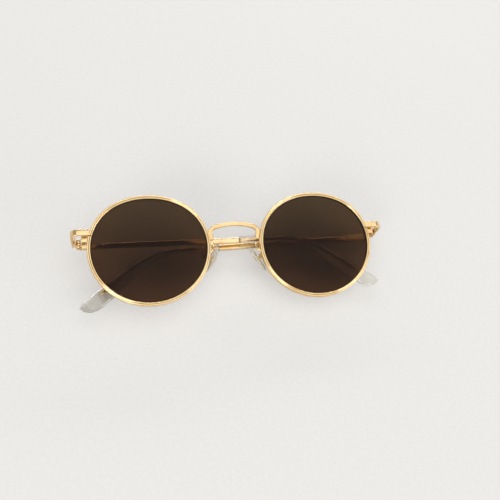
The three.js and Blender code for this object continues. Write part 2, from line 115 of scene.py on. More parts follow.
# Centripetal Catmull-Rom: knots grow by the root of each chord, three blends of blends between them.
def throughPoints(points, count):
    p = np.asarray(points, float)
    p = np.vstack([2 * p[0] - p[1], p, 2 * p[-1] - p[-2]])
    knots = np.concatenate([[0], np.cumsum(np.linalg.norm(np.diff(p, axis=0), axis=1) ** 0.5)])
    t = np.linspace(knots[1], knots[-2], count)
    i = np.clip(np.searchsorted(knots, t, side="right") - 1, 1, len(p) - 3)
    mix = lambda a, b, ka, kb: a + (b - a) * ((t - ka) / (kb - ka))[:, None]
    k = [knots[i + s] for s in (-1, 0, 1, 2)]
    q = [p[i + s] for s in (-1, 0, 1, 2)]
    first = [mix(q[s], q[s + 1], k[s], k[s + 1]) for s in range(3)]
    second = [mix(first[s], first[s + 1], k[s], k[s + 2]) for s in range(2)]
    return mix(second[0], second[1], k[1], k[2])


# Unit steps: each vector over its own length, and nothing where it has no length.
def unitSteps(steps):
    return steps / np.maximum(np.linalg.norm(steps, axis=-1, keepdims=True), 1e-9)


# Side directions of a path: tangent crossed with the normal of the plane that fits the path best.
def pathSides(path):
    along = unitSteps(np.gradient(path, axis=0))
    flatNormal = np.linalg.svd(path - path.mean(0))[2][2]
    across = unitSteps(np.cross(along, flatNormal))
    return across, np.cross(across, along)


# Profile carried along a path: path + across * profile x + up * profile y, as rows of rings.
def carried(path, across, up, profile):
    across, up = np.broadcast_to(across, path.shape), np.broadcast_to(up, path.shape)
    profile = np.broadcast_to(profile, (len(path),) + np.shape(profile)[-2:])
    return path[:, None] + profile[..., :1] * across[:, None] + profile[..., 1:] * up[:, None]


# Surface of revolution about Z: each (radius, height) of the profile swept round a full turn.
def spun(profile, count=40):
    angle = np.arange(count) * 2 * np.pi / count
    radius, height = np.asarray(profile, float).T[:, :, None]
    return np.stack(np.broadcast_arrays(radius * np.cos(angle), radius * np.sin(angle), height), -1)


# Box with round edges: unit sphere directions times the edge radius, plus the corner of their octant.
def softBlock(low, high, edge, steps=5):
    low, high = np.asarray(low, float), np.asarray(high, float)
    quarter = np.linspace(0, np.pi / 2, steps)
    turn = (quarter + np.pi / 2 * np.arange(4)[:, None]).ravel()
    rise = (quarter - np.pi / 2 * np.array([[1], [0]])).ravel()[:, None]
    ball = np.stack(np.broadcast_arrays(
        np.cos(rise) * np.cos(turn), np.cos(rise) * np.sin(turn), np.sin(rise)), -1)
    sx, sy = np.repeat([[1, -1, -1, 1], [1, 1, -1, -1]], steps, axis=1)
    sz = np.repeat([-1, 1], steps)[:, None]
    corner = np.stack(np.broadcast_arrays(sx, sy, sz), -1)
    return (low + high) / 2 + ((high - low) / 2 - edge) * corner + edge * ball


# Block drilled along X: a soft rectangle round a hole, its faces joined outside and through the hole.
def drilledBlock(halfWide, halfLong, low, high, hole, holeAt, ease, power=0.2, count=48):
    middle = np.array((0, (low + high) / 2))
    full = middle + softOval(halfLong, (high - low) / 2, power, count)
    slim = middle + softOval(halfLong - ease, (high - low) / 2 - ease, power, count)
    bore = softOval(hole, hole, 1.0, count) + (0, holeAt)
    outline = np.stack([full, full, slim, bore, bore, slim, full])
    level = halfWide * np.array([-1, 1, 1, 1, -1, -1, -1]) + ease * np.array([1, -1, 0, 0, 0, 0, 1])
    return np.concatenate([np.broadcast_to(level[:, None, None], (len(level), count, 1)), outline], -1)


# Vertices and faces of rows of closed rings: quads between rows, one face over each end of a capped row.
def ringFaces(rings, place, sign=1, capped=True):
    rows, count = rings.shape[:2]
    index = np.arange(rows * count).reshape(rows, count)
    nextOne = np.roll(index, -1, axis=1)
    quads = np.stack([index[:-1], index[1:], nextOne[1:], nextOne[:-1]], -1).reshape(-1, 4)
    ends = [index[0].tolist(), index[-1, ::-1].tolist()] if capped else []
    return toWorld(rings.reshape(-1, 3), place, sign), quads.tolist() + ends


# One mesh object from several closed shells, riding on its body in place of its solids.
def makePiece(name, shells, material, body, slot, *nodes):
    starts = np.cumsum([0] + [len(verts) for verts, faces in shells])
    verts = np.vstack([verts for verts, faces in shells])
    faces = [[v + s for v in face] for s, (own, shell) in zip(starts, shells) for face in shell]
    mesh = bpy.data.meshes.new(name)
    mesh.from_pydata(verts.tolist(), [], faces)
    work = bmesh.new()
    work.from_mesh(mesh)
    bmesh.ops.remove_doubles(work, verts=work.verts, dist=meshing["weldM"])
    bmesh.ops.recalc_face_normals(work, faces=work.faces)
    work.to_mesh(mesh)
    work.free()
    mesh.shade_smooth()
    mesh.set_sharp_from_angle(angle=np.radians(meshing["sharpDeg"]))
    mesh.materials.append(material)
    piece = bpy.data.objects.new(name, mesh)
    bpy.context.scene.collection.objects.link(piece)
    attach(piece, body)
    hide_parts(*nodes)


# Linear colour of an sRGB hex code: the standard curve, channel by channel.
def fromHex(code):
    srgb = np.array([int(code[i:i + 2], 16) for i in (1, 3, 5)]) / 255
    linear = np.where(srgb <= 0.04045, srgb / 12.92, ((srgb + 0.055) / 1.055) ** 2.4)
    return (*linear.tolist(), 1.0)


# Texture scale whose features are about this many millimetres across, in metre coordinates.
def perMm(size):
    return 1000 / size


# Adds a node: settings go to attributes, sockets or a ramp's two stops, links are (node, output) by input.
def addNode(tree, kind, settings={}, links={}):
    node = tree.nodes.new(kind)
    for name, value in settings.items():
        if name == "stops":
            for stop, (position, code) in zip(node.color_ramp.elements, value):
                stop.position, stop.color = position, fromHex(code)
        elif hasattr(node, str(name)):
            setattr(node, name, value)
        else:
            node.inputs[name].default_value = value
    for name, (source, output) in links.items():
        tree.links.new(source.outputs[output], node.inputs[name])
    return node


def newMaterial(name):
    material = bpy.data.materials.new(name)
    material.use_nodes = True
    material.node_tree.nodes.clear()
    return material, material.node_tree


# Polished gold plating over nickel alloy: mirror-like, faintly warmer and cooler in patches,
# with buffing marks too fine to see singly, drawn coarse enough to break up the highlights.
goldLook = {"tones": [(0.3, "#E4C088"), (0.7, "#F8DEAE")], "patchMm": 7, "patchDetail": 3.0,
            "buffMm": 0.5, "buffDetail": 5.0, "low": 0.08, "high": 0.2, "relief": 0.12, "reliefMm": 0.03}
polishedGold, tree = newMaterial("polishedGoldPlating")
where = addNode(tree, "ShaderNodeTexCoord")
patches = addNode(tree, "ShaderNodeTexNoise", {
    "Scale": perMm(goldLook["patchMm"]), "Detail": goldLook["patchDetail"]}, {"Vector": (where, "Object")})
buffing = addNode(tree, "ShaderNodeTexNoise", {
    "Scale": perMm(goldLook["buffMm"]), "Detail": goldLook["buffDetail"]}, {"Vector": (where, "Object")})
tone = addNode(tree, "ShaderNodeValToRGB", {"stops": goldLook["tones"]}, {"Fac": (patches, "Fac")})
polish = addNode(tree, "ShaderNodeMapRange", {
    "To Min": goldLook["low"], "To Max": goldLook["high"]}, {"Value": (buffing, "Fac")})
relief = addNode(tree, "ShaderNodeBump", {
    "Strength": goldLook["relief"], "Distance": goldLook["reliefMm"] / 1000}, {"Height": (buffing, "Fac")})
shader = addNode(tree, "ShaderNodeBsdfPrincipled", {"Metallic": 1.0}, {
    "Base Color": (tone, "Color"), "Roughness": (polish, "Result"), "Normal": (relief, "Normal")})
addNode(tree, "ShaderNodeOutputMaterial", {}, {"Surface": (shader, "BSDF")})

# Turned brass screws with a gold flash: duller than the frame, with fine tool marks.
screwLook = {"tones": [(0.3, "#A98553"), (0.7, "#D6B581")], "markMm": 0.12, "markDetail": 3.0,
             "low": 0.24, "high": 0.42}
turnedScrew, tree = newMaterial("turnedGoldScrew")
where = addNode(tree, "ShaderNodeTexCoord")
marks = addNode(tree, "ShaderNodeTexNoise", {
    "Scale": perMm(screwLook["markMm"]), "Detail": screwLook["markDetail"]}, {"Vector": (where, "Object")})
tone = addNode(tree, "ShaderNodeValToRGB", {"stops": screwLook["tones"]}, {"Fac": (marks, "Fac")})
polish = addNode(tree, "ShaderNodeMapRange", {
    "To Min": screwLook["low"], "To Max": screwLook["high"]}, {"Value": (marks, "Fac")})
shader = addNode(tree, "ShaderNodeBsdfPrincipled", {"Metallic": 1.0}, {
    "Base Color": (tone, "Color"), "Roughness": (polish, "Result")})
addNode(tree, "ShaderNodeOutputMaterial", {}, {"Surface": (shader, "BSDF")})

# Dyed cast resin sun lens with an anti-reflection coat: dark brown, see-through, with a film of handling
# marks that only shows in the gloss.
# Its tone turns a little lighter and greener towards the brow: a painted reflection of the bright
# surroundings on the upper lens.
lensLook = {"tones": [(0.0, "#5A3D29"), (1.0, "#544430")], "reflectionFadeMm": 24, "smearMm": 9, "smearDetail": 6.0,
            "smearFrom": 0.35, "smearTo": 0.7, "low": 0.0, "high": 0.012,
            "ior": 1.2}  # the coat makes the 1.5 plastic reflect as little as this
tintedLens, tree = newMaterial("dyedSunLens")
where = addNode(tree, "ShaderNodeTexCoord")
spot = addNode(tree, "ShaderNodeSeparateXYZ", {}, {"Vector": (where, "Object")})
height = addNode(tree, "ShaderNodeMapRange", {
    "From Min": -lensLook["reflectionFadeMm"] / 1000, "From Max": lensLook["reflectionFadeMm"] / 1000}, {"Value": (spot, "Y")})
smears = addNode(tree, "ShaderNodeTexNoise", {
    "Scale": perMm(lensLook["smearMm"]), "Detail": lensLook["smearDetail"]}, {"Vector": (where, "Object")})
# painted reflection: the tint grades from the chin tone to a lighter, greener brow tone in place of the
# mirrored surroundings
tone = addNode(tree, "ShaderNodeValToRGB", {"stops": lensLook["tones"]}, {"Fac": (height, "Result")})
polish = addNode(tree, "ShaderNodeMapRange", {
    "From Min": lensLook["smearFrom"], "From Max": lensLook["smearTo"],
    "To Min": lensLook["low"], "To Max": lensLook["high"]}, {"Value": (smears, "Fac")})
shader = addNode(tree, "ShaderNodeBsdfPrincipled", {"Transmission Weight": 1.0, "IOR": lensLook["ior"]}, {
    "Base Color": (tone, "Color"), "Roughness": (polish, "Result")})
addNode(tree, "ShaderNodeOutputMaterial", {}, {"Surface": (shader, "BSDF")})

# Clear moulded acetate tips: water-white with a faint green cast, glossy, with slight ripples from the mould.
tipLook = {"tones": [(0.35, "#FFFEFA"), (0.75, "#F7F8F4")], "rippleMm": 5, "rippleDetail": 2.0,
           "low": 0.0, "high": 0.02, "relief": 0.15, "reliefMm": 0.2, "ior": 1.478, "gloss": 0.7,
           "body": 0.85}  # the rest goes straight through, as light does through a thin clear moulding
clearTip, tree = newMaterial("clearAcetate")
where = addNode(tree, "ShaderNodeTexCoord")
ripples = addNode(tree, "ShaderNodeTexNoise", {
    "Scale": perMm(tipLook["rippleMm"]), "Detail": tipLook["rippleDetail"]}, {"Vector": (where, "Object")})
tone = addNode(tree, "ShaderNodeValToRGB", {"stops": tipLook["tones"]}, {"Fac": (ripples, "Fac")})
polish = addNode(tree, "ShaderNodeMapRange", {
    "To Min": tipLook["low"], "To Max": tipLook["high"]}, {"Value": (ripples, "Fac")})
relief = addNode(tree, "ShaderNodeBump", {
    "Strength": tipLook["relief"], "Distance": tipLook["reliefMm"] / 1000}, {"Height": (ripples, "Fac")})
shader = addNode(tree, "ShaderNodeBsdfPrincipled", {
    "Transmission Weight": 1.0, "IOR": tipLook["ior"], "Coat Weight": tipLook["gloss"],
    "Alpha": tipLook["body"]}, {
    "Base Color": (tone, "Color"), "Roughness": (polish, "Result"), "Normal": (relief, "Normal")})
addNode(tree, "ShaderNodeOutputMaterial", {}, {"Surface": (shader, "BSDF")})

# Soft clear PVC nose pads: slightly hazy and yellowed, with a satin skin.
padLook = {"tones": [(0.3, "#FCFAF4"), (0.75, "#F5EFE0")], "hazeMm": 3, "hazeDetail": 4.0,
           "low": 0.12, "high": 0.28, "through": 0.6, "ior": 1.53}
clearPad, tree = newMaterial("clearPvcPad")
where = addNode(tree, "ShaderNodeTexCoord")
haze = addNode(tree, "ShaderNodeTexNoise", {
    "Scale": perMm(padLook["hazeMm"]), "Detail": padLook["hazeDetail"]}, {"Vector": (where, "Object")})
tone = addNode(tree, "ShaderNodeValToRGB", {"stops": padLook["tones"]}, {"Fac": (haze, "Fac")})
polish = addNode(tree, "ShaderNodeMapRange", {
    "To Min": padLook["low"], "To Max": padLook["high"]}, {"Value": (haze, "Fac")})
shader = addNode(tree, "ShaderNodeBsdfPrincipled", {
    "Transmission Weight": padLook["through"], "IOR": padLook["ior"]}, {
    "Base Color": (tone, "Color"), "Roughness": (polish, "Result")})
addNode(tree, "ShaderNodeOutputMaterial", {}, {"Surface": (shader, "BSDF")})
print("materials:", len(bpy.data.materials))

# Eyewires: two half-round beads on the face, a groove inside for the lens, split at the closing screw.
eyewire = {"outer": rimOuter - 0.04, "faceSink": 0.03, "edgeRoll": 0.42, "beadGroove": 0.14, "beadPower": 1.5,
           "backRound": 0.45, "grooveHalf": 0.8, "grooveDepth": 0.25, "splitGap": 0.4, "splitRise": 5.946,
           "steps": 361, "faceSteps": 37, "backSteps": 9}


# Rim section from the inner side: two beads |sin 2 pi s| across the face, a round back, a V groove.
def rimProfile():
    s = np.linspace(0, 1, eyewire["faceSteps"])
    edgeShare = (2 * s - 1) ** 2
    fall = eyewire["edgeRoll"] * edgeShare + eyewire["beadGroove"] * (1 - edgeShare)
    dip = fall * (1 - np.abs(np.sin(2 * np.pi * s))) ** eyewire["beadPower"]
    face = np.stack([rimInner + (eyewire["outer"] - rimInner) * s, -eyewire["faceSink"] - dip], -1)
    r = eyewire["backRound"]
    a = np.linspace(0, np.pi / 2, eyewire["backSteps"])
    outside = np.stack([eyewire["outer"] - r + r * np.cos(a), r - rimDepth - r * np.sin(a)], -1)
    inside = np.stack([rimInner + r / 2 - r / 2 * np.sin(a), r / 2 - rimDepth - r / 2 * np.cos(a)], -1)
    groove = [(rimInner, lensMiddle - eyewire["grooveHalf"]), (eyewire["grooveDepth"], lensMiddle),
              (rimInner, lensMiddle + eyewire["grooveHalf"])]
    return np.vstack([face, outside, inside, groove])


splitAngle = np.arcsin(ovalSine(0, eyewire["splitRise"]))
splitHalf = eyewire["splitGap"] / lensWidth
rimAngle = np.linspace(splitAngle + splitHalf, splitAngle + 2 * np.pi - splitHalf, eyewire["steps"])
rimSection = rimProfile()
rimRings = ovalPoint(rimSection[:, 0], rimAngle[:, None], rimSection[:, 1])
for side, sign in sides.items():
    makePiece("rim_" + side, [ringFaces(rimRings, frontPlace, sign)],
              polishedGold, "front", "gold_metal", "eyewire_" + side)
print("rims done")

# Lenses: a dome over the whole lens, parallel back, a pointed bevel in the rim's groove.
lens = {"thickness": 2.0, "dome": 1.2, "bevel": 0.6, "edgeEase": 0.08, "steps": 180, "rows": 28}
domeShare = np.sqrt(np.linspace(0, 1, lens["rows"]))  # closer together at the edge
lensAngle = np.arange(lens["steps"]) * 2 * np.pi / lens["steps"]


# Dome: the outline shrunk to a share of its size, raised by dome * (1 - share squared).
def domeRings(level):
    edge = ovalPoint(-lens["bevel"], lensAngle, 0.0)
    centre = np.array((lensSpacing / 2, 0, 0))
    rings = centre + (edge - centre) * domeShare[:, None, None]
    rings[..., 2] = level + lens["dome"] * (1 - domeShare ** 2)[:, None]
    return rings


easeStep = lens["edgeEase"] * np.array([[1], [0], [-1]])
lensTip = ovalPoint(-np.abs(easeStep), lensAngle, lensMiddle + easeStep)
lensFront = domeRings(lensMiddle + lens["thickness"] / 2)
lensBack = domeRings(lensMiddle - lens["thickness"] / 2)
lensRings = np.concatenate([lensFront, lensTip, lensBack[::-1]])
for side, sign in sides.items():
    makePiece("sunLens_" + side, [ringFaces(lensRings, frontPlace, sign)],
              tintedLens, "front", "tinted_lens", "lens_" + side)
print("lenses done")

# Bridge: a flat wire arched over the nose, its legs soldered beside the rims.
bridge = {"face": 2.0, "thick": 1.2, "power": 0.42, "crown": 9.65, "shoulder": 6.4, "legEnd": 2.5, "bow": 0.4,
          "legSink": 1.6, "legShares": (1.0, 0.9, 0.75), "bed": 0.12, "shoulderIn": 0.1, "endShare": 0.03,
          "arch": [(0.89, 0.5, 0.5), (0.57, 0.82, 0.0)], "steps": 140}


# Centre of a leg beside the rim at a height, close enough to bed in its solder.
def besideRim(height):
    return lensSpacing / 2 - ovalReach(rimOuter, height) - bridge["face"] / 2 + bridge["bed"]


legMiddle = (bridge["legEnd"] + bridge["shoulder"]) / 2
shoulderX = besideRim(bridge["shoulder"]) - bridge["shoulderIn"]
archRise = bridge["crown"] - bridge["shoulder"]
legPlaces = [(besideRim(bridge["legEnd"]), bridge["legEnd"]), (besideRim(legMiddle), legMiddle),
             (shoulderX, bridge["shoulder"])]
halfArch = [(x, y, -share * bridge["legSink"]) for (x, y), share in zip(legPlaces, bridge["legShares"])]
halfArch += [(shoulderX * span, bridge["shoulder"] + archRise * rise, -bridge["legSink"] * sink)
             for span, rise, sink in bridge["arch"]]
archPoints = halfArch + [(0, bridge["crown"], bridge["bow"])] + [(-x, y, z) for x, y, z in halfArch[::-1]]
archPath = throughPoints(archPoints, bridge["steps"])
archPath[:, 2] -= bridge["thick"] / 2
archSlope = np.gradient(archPath, axis=0)
archAcross = unitSteps(np.stack([-archSlope[:, 1], archSlope[:, 0], 0 * archSlope[:, 0]], -1))
alongArch = np.linspace(0, 1, bridge["steps"])
fromEnd = np.minimum(alongArch, 1 - alongArch) / bridge["endShare"]
endRound = np.sqrt(1 - np.clip(1 - fromEnd, 0, meshing["roundEnd"]) ** 2)  # legs end in a half round
archSection = softOval(bridge["face"] / 2, bridge["thick"] / 2, bridge["power"]) * endRound[:, None, None]
archRings = carried(archPath, archAcross, (0, 0, 1), archSection)
makePiece("noseBridge", [ringFaces(archRings, frontPlace)], polishedGold, "front", "gold_metal", "bridge")
print("bridge done")

# Endpieces: a band from the rim that bends back to the hinge.
endpiece = {"height": 3.0, "lift": 0.2, "thick": 1.2, "power": 0.4, "sink": 0.2, "reach": 8.1, "bend": 3.2,
            "bury": 0.45, "outSteps": 12, "bendSteps": 24, "backSteps": 13}
rimEdge = lensSpacing / 2 + ovalReach(rimOuter, placement["bandRise"])
bandOuter = rimEdge + endpiece["reach"]
bandLow = endpiece["lift"] - endpiece["height"] / 2
bandHigh = endpiece["lift"] + endpiece["height"] / 2
pivotX = bandOuter - templeOuter


# Band centreline: straight out, a quarter circle, then straight back.
def bandPath():
    r = endpiece["bend"] - endpiece["thick"] / 2
    top = -endpiece["sink"] - endpiece["thick"] / 2
    a = np.linspace(np.pi / 2, 0, endpiece["bendSteps"])
    cornerX, cornerZ = bandOuter - endpiece["bend"], -endpiece["sink"] - endpiece["bend"]
    out = np.linspace(rimEdge - endpiece["bury"], cornerX, endpiece["outSteps"], endpoint=False)
    back = np.linspace(cornerZ, buttGap - hingeDepth, endpiece["backSteps"] + 1)[1:]
    x = np.concatenate([out, cornerX + r * np.cos(a), np.full(len(back), cornerX + r)])
    z = np.concatenate([np.full(len(out), top), cornerZ + r * np.sin(a), back])
    return np.stack([x, np.full_like(x, endpiece["lift"]), z], -1)


bandLine = bandPath()
bandUp = np.cross((0, 1, 0), unitSteps(np.gradient(bandLine, axis=0)))
bandSection = softOval(endpiece["height"] / 2, endpiece["thick"] / 2, endpiece["power"])
bandRings = carried(bandLine, (0, 1, 0), bandUp, bandSection)
for side, sign in sides.items():
    makePiece("endBand_" + side, [ringFaces(bandRings, leanPlace, sign)],
              polishedGold, "front", "gold_metal", "endpiece_" + side)
print("endpieces done")

# Edges that every screw has: a blunt point, an eased underside and a top that narrows in two steps.
screwEase = {"point": 0.08, "pointLong": 0.1, "under": 0.05, "underHigh": 0.06, "bed": 0.05,
             "topLow": 0.14, "topHigh": 0.04, "topShares": (1, 1, 0.97, 0.88), "steps": 24}


# Slotted screw along Z, head up: a turned shank and head, and two D-shaped halves above the slot.
def slottedScrew(shankRadius, headRadius, low, headLow, headHeight, slotWidth=0.3):
    headTop = headLow + headHeight
    slotFloor = (headLow + headTop) / 2
    body = spun([
        (0, low), (shankRadius - screwEase["point"], low), (shankRadius, low + screwEase["pointLong"]),
        (shankRadius, headLow), (headRadius - screwEase["under"], headLow),
        (headRadius, headLow + screwEase["underHigh"]), (headRadius, slotFloor), (0, slotFloor)])
    halfTurn = np.arccos(slotWidth / 2 / headRadius)
    a = np.linspace(-halfTurn, halfTurn, screwEase["steps"])
    outline = np.stack([headRadius * np.cos(a), headRadius * np.sin(a)], -1)
    middle = np.array((headRadius / 2, 0))
    rows = middle + (outline - middle) * np.array(screwEase["topShares"])[:, None, None]
    level = np.array([slotFloor - screwEase["bed"], headTop - screwEase["topLow"],
                      headTop - screwEase["topHigh"], headTop])
    halfHead = np.concatenate([rows, np.broadcast_to(level[:, None, None], (*rows.shape[:2], 1))], -1)
    return [body, halfHead, halfHead * (-1, -1, 1)]


# Closing blocks: brazed to the rim above and below its split, drawn together by a screw from below.
closing = {"height": 2.3, "width": 2.4, "depth": 2.2, "top": -1.65, "split": -1.5, "gap": 0.4, "grip": 1.6,
           "screwX": 66.05, "shank": 0.45, "head": 0.8, "headHeight": 0.5, "headRun": 0.2, "edge": 0.28,
           "bury": 0.7}
blockOut = closing["screwX"] + closing["width"] / 2
blockBack = closing["top"] - closing["depth"]
upperLow = closing["split"] + closing["gap"] / 2
lowerHigh = closing["split"] - closing["gap"] / 2
lowerLow = lowerHigh - closing["height"]
blockSpans = {"upper": (upperLow, upperLow + closing["height"]), "lower": (lowerLow, lowerHigh)}
closingScrew = slottedScrew(closing["shank"], closing["head"], -upperLow - closing["grip"],
                            closing["headRun"] - lowerLow, closing["headHeight"])
for side, sign in sides.items():
    for part, (low, high) in blockSpans.items():
        rimReach = ovalReach(rimOuter, placement["bandRise"] + (low + high) / 2)
        blockIn = lensSpacing / 2 + rimReach - closing["bury"]
        block = softBlock((blockIn, low, blockBack), (blockOut, high, closing["top"]), closing["edge"])
        makePiece("closingBlock_" + part + "_" + side, [ringFaces(block, leanPlace, sign)],
                  polishedGold, "front", "gold_metal", "closing_block_" + part + "_" + side)
    screwAt = np.array(Matrix.Translation((sign * closing["screwX"], 0, (closing["top"] + blockBack) / 2)))
    screwPlace = leanPlace @ screwAt @ downY
    makePiece("closingScrew_" + side, [ringFaces(shell, screwPlace) for shell in closingScrew],
              turnedScrew, "front", "gold_screw", "closing_screw_" + side)
print("closing blocks done")

# Hinges: two front knuckles round one temple knuckle, a slotted screw as the pin.
hinge = {"knuckle": 1.1, "height": 1.0, "run": 0.2, "set": 0.65, "leaf": 0.7, "leafLength": 5.2,
         "templeLeaf": 10.4, "screw": 0.55, "head": 0.9, "headHeight": 0.45, "edge": 0.16, "rimEase": 0.1,
         "boreFit": 0.1, "steps": 48}
folds = {"left": -0.3, "right": placement["leanDeg"]}  # degrees that each temple starts open
stack = 1.5 * hinge["height"] + hinge["run"]
gapEdge = hinge["height"] / 2 + hinge["run"]
leafIn, leafOut = hinge["set"], hinge["set"] + hinge["leaf"]
swingRoom = hinge["knuckle"] + hinge["run"]  # each leaf keeps out of the other's knuckles
lugEnd = swingRoom + 3 * hinge["edge"]


# Knuckle: a turned barrel with eased rims and the pin's bore through it.
def knuckle(low, high):
    r, ease, bore = hinge["knuckle"], hinge["rimEase"], hinge["screw"] + hinge["boreFit"]
    outside = [(r - ease, low), (r, low + ease), (r, high - ease), (r - ease, high)]
    return spun([(bore, low), *outside, (bore, high), (bore, low)], hinge["steps"])


# Front half: a leaf and two lugs that carry the outer knuckles.
frontSpans = [
    (bandLow, bandHigh, swingRoom, hinge["leafLength"]),
    (gapEdge, bandHigh, buttGap, lugEnd),
    (bandLow, -gapEdge, buttGap, lugEnd)]
frontBlocks = [softBlock((leafIn, low, start), (leafOut, high, end), hinge["edge"])
               for low, high, start, end in frontSpans]
frontKnuckles = [knuckle(gapEdge, stack), knuckle(-stack, -gapEdge)]

# Temple half: a leaf along the bar and a tongue that carries the middle knuckle.
templeSpans = [
    (hinge["templeLeaf"], swingRoom, barHeight / 2),
    (lugEnd, buttGap, hinge["height"] / 2)]
templeBlocks = [softBlock((-start, -half, -leafOut), (-end, half, -leafIn), hinge["edge"])
                for start, end, half in templeSpans]
templeKnuckle = knuckle(-hinge["height"] / 2, hinge["height"] / 2)
hingeScrew = slottedScrew(hinge["screw"], hinge["head"], -stack, stack + hinge["run"], hinge["headHeight"])
swings = {}  # where each folded temple is
for side, sign in sides.items():
    pivotPlace = leanPlace @ turned("Y", 0, (sign * pivotX, 0, -hingeDepth))
    upright = pivotPlace @ alongY
    folded = turned("Y", -folds[side], (pivotX, 0, -hingeDepth))
    swings[side] = leanPlace @ np.diag((sign, 1, 1, 1)) @ folded
    makePiece("hingeFront_" + side, [ringFaces(block, pivotPlace, sign) for block in frontBlocks]
              + [ringFaces(barrel, upright, capped=False) for barrel in frontKnuckles],
              polishedGold, "front", "gold_metal", "hinge_front_" + side)
    makePiece("hingeScrew_" + side, [ringFaces(shell, upright) for shell in hingeScrew],
              turnedScrew, "front", "gold_screw", "hinge_screw_" + side)
    makePiece("hingeTemple_" + side, [ringFaces(block, swings[side]) for block in templeBlocks]
              + [ringFaces(templeKnuckle, upright, capped=False)],
              polishedGold, "temple_" + side, "gold_metal", "hinge_temple_" + side)
print("hinges done")

# Temples: a flat bar that thins to the core wire of the tip and bends down behind the ear.
# An ease is a list of (distance along, share of the section left there).
bar = {"length": 146.0, "inner": 1.6, "power": 0.42, "sleeveStart": 73.8, "bendStart": 93.0,
       "earRadius": 34.5, "earDeg": 37.3, "buttEase": [(0, 0.93), (0.05, 0.975), (0.15, 1)],
       "sleeveEase": [(0.12, 0.94)], "straightFrom": 0.6, "straightSteps": 40}
core = {"height": 1.4, "thick": 0.6, "power": 0.6, "step": 0.1, "inBar": 1, "margin": 10.8, "round": 0.8,
        "steps": 90, "around": 24}
tip = {"height": 3.4, "thick": 2.2, "above": 1.9, "below": 5.2, "soleShare": 0.7, "sleeveSteps": 70,
       "mouthGap": 0.25, "mouthEase": [(0, 0.86), (0.06, 0.96), (0.2, 1)], "nose": 7.0, "nosePower": 1.95,
       "noseLean": 0.14, "noseEnd": 0.999, "noseSteps": 15, "cut": 0.65, "cutShare": 0.55, "cutEase": 0.15}
droops = {"left": -0.5, "right": 1.1}  # degrees, as the folded temples cross


# Temple centreline at a length from the hinge: straight, an arc of the ear's radius, straight again.
def templeLine(length):
    ear = np.radians(bar["earDeg"])
    turn = np.clip((length - bar["bendStart"]) / bar["earRadius"], 0, ear)
    rest = np.maximum(length - bar["bendStart"] - bar["earRadius"] * ear, 0)
    x = -np.minimum(length, bar["bendStart"]) - bar["earRadius"] * np.sin(turn) - rest * np.cos(turn)
    y = -bar["earRadius"] * (1 - np.cos(turn)) - rest * np.sin(turn)
    return np.stack([x, y, 0 * x], -1), np.stack([-np.sin(turn), np.cos(turn), 0 * x], -1)


# Soft oval strip: from below to above the line and from a low to a high level, a superellipse between.
def ovalStrip(above, below, low, high, power, count=meshing["section"]):
    unit = softOval(1, 1, power, count)
    wide = ((above - below) / 2)[:, None] + ((above + below) / 2)[:, None] * unit[:, 0]
    level = ((low + high) / 2)[:, None] + ((high - low) / 2)[:, None] * unit[:, 1]
    return np.stack([wide, level], -1)


# Cut strip: the same limits, the four long edges cut at 45 degrees and every corner eased by five points.
def cutStrip(above, below, low, high, cut):
    middle = np.stack([above - below, low + high], -1)[:, None] / 2
    wide, thick = (above + below) / 2, (high - low) / 2
    cut = np.minimum(cut, tip["cutShare"] * np.minimum(wide, thick))
    x = np.stack([wide, wide, wide - cut, cut - wide, -wide, -wide, cut - wide, wide - cut], -1)
    y = np.stack([cut - thick, thick - cut, thick, thick, thick - cut, cut - thick, -thick, -thick], -1)
    corner = np.stack([x, y], -1)
    near = tip["cutEase"] * cut[:, None, None]
    before, after = [near * unitSteps(np.roll(corner, way, axis=1) - corner) for way in (1, -1)]
    eased = [2 * before, before, (before + after) / 4, after, 2 * after]
    points = np.stack([corner + move for move in eased], 2)
    return middle + points.reshape(len(wide), -1, 2)


# Rings along a temple: a section carried along its line, flat on the table's level.
def templeRings(length, section):
    path, across = templeLine(length)
    return carried(path, across, (0, 0, 1), section)


# Bar: the full section from the hinge to the tip's mouth, eased at both ends.
buttAt, buttShare = np.array(bar["buttEase"]).T
sleeveAt, sleeveShare = np.array(bar["sleeveEase"]).T
straight = np.linspace(bar["straightFrom"], bar["sleeveStart"], bar["straightSteps"])
barLength = np.concatenate([buttGap + buttAt, straight, bar["sleeveStart"] + sleeveAt])
barShare = np.concatenate([buttShare, np.ones(len(straight)), sleeveShare])
barHalf = barShare * barHeight / 2
barRings = templeRings(barLength, ovalStrip(
    barHalf, barHalf, -templeOuter + (1 - barShare), -bar["inner"] - (1 - barShare), bar["power"]))

# Core: a thinner wire on from the bar, with a round end inside the tip.
coreEnd = bar["length"] - core["margin"]
coreLength = np.linspace(bar["sleeveStart"] - core["inBar"], coreEnd, core["steps"])
intoRound = np.clip((coreLength - coreEnd + core["round"]) / core["round"], 0, meshing["roundEnd"])
coreShare = np.sqrt(1 - intoRound ** 2)
coreMiddle = -bar["inner"] - core["step"] - core["thick"] / 2
coreHalf, coreDepth = coreShare * core["height"] / 2, coreShare * core["thick"] / 2
coreRings = templeRings(coreLength, ovalStrip(
    coreHalf, coreHalf, coreMiddle - coreDepth, coreMiddle + coreDepth, core["power"], core["around"]))

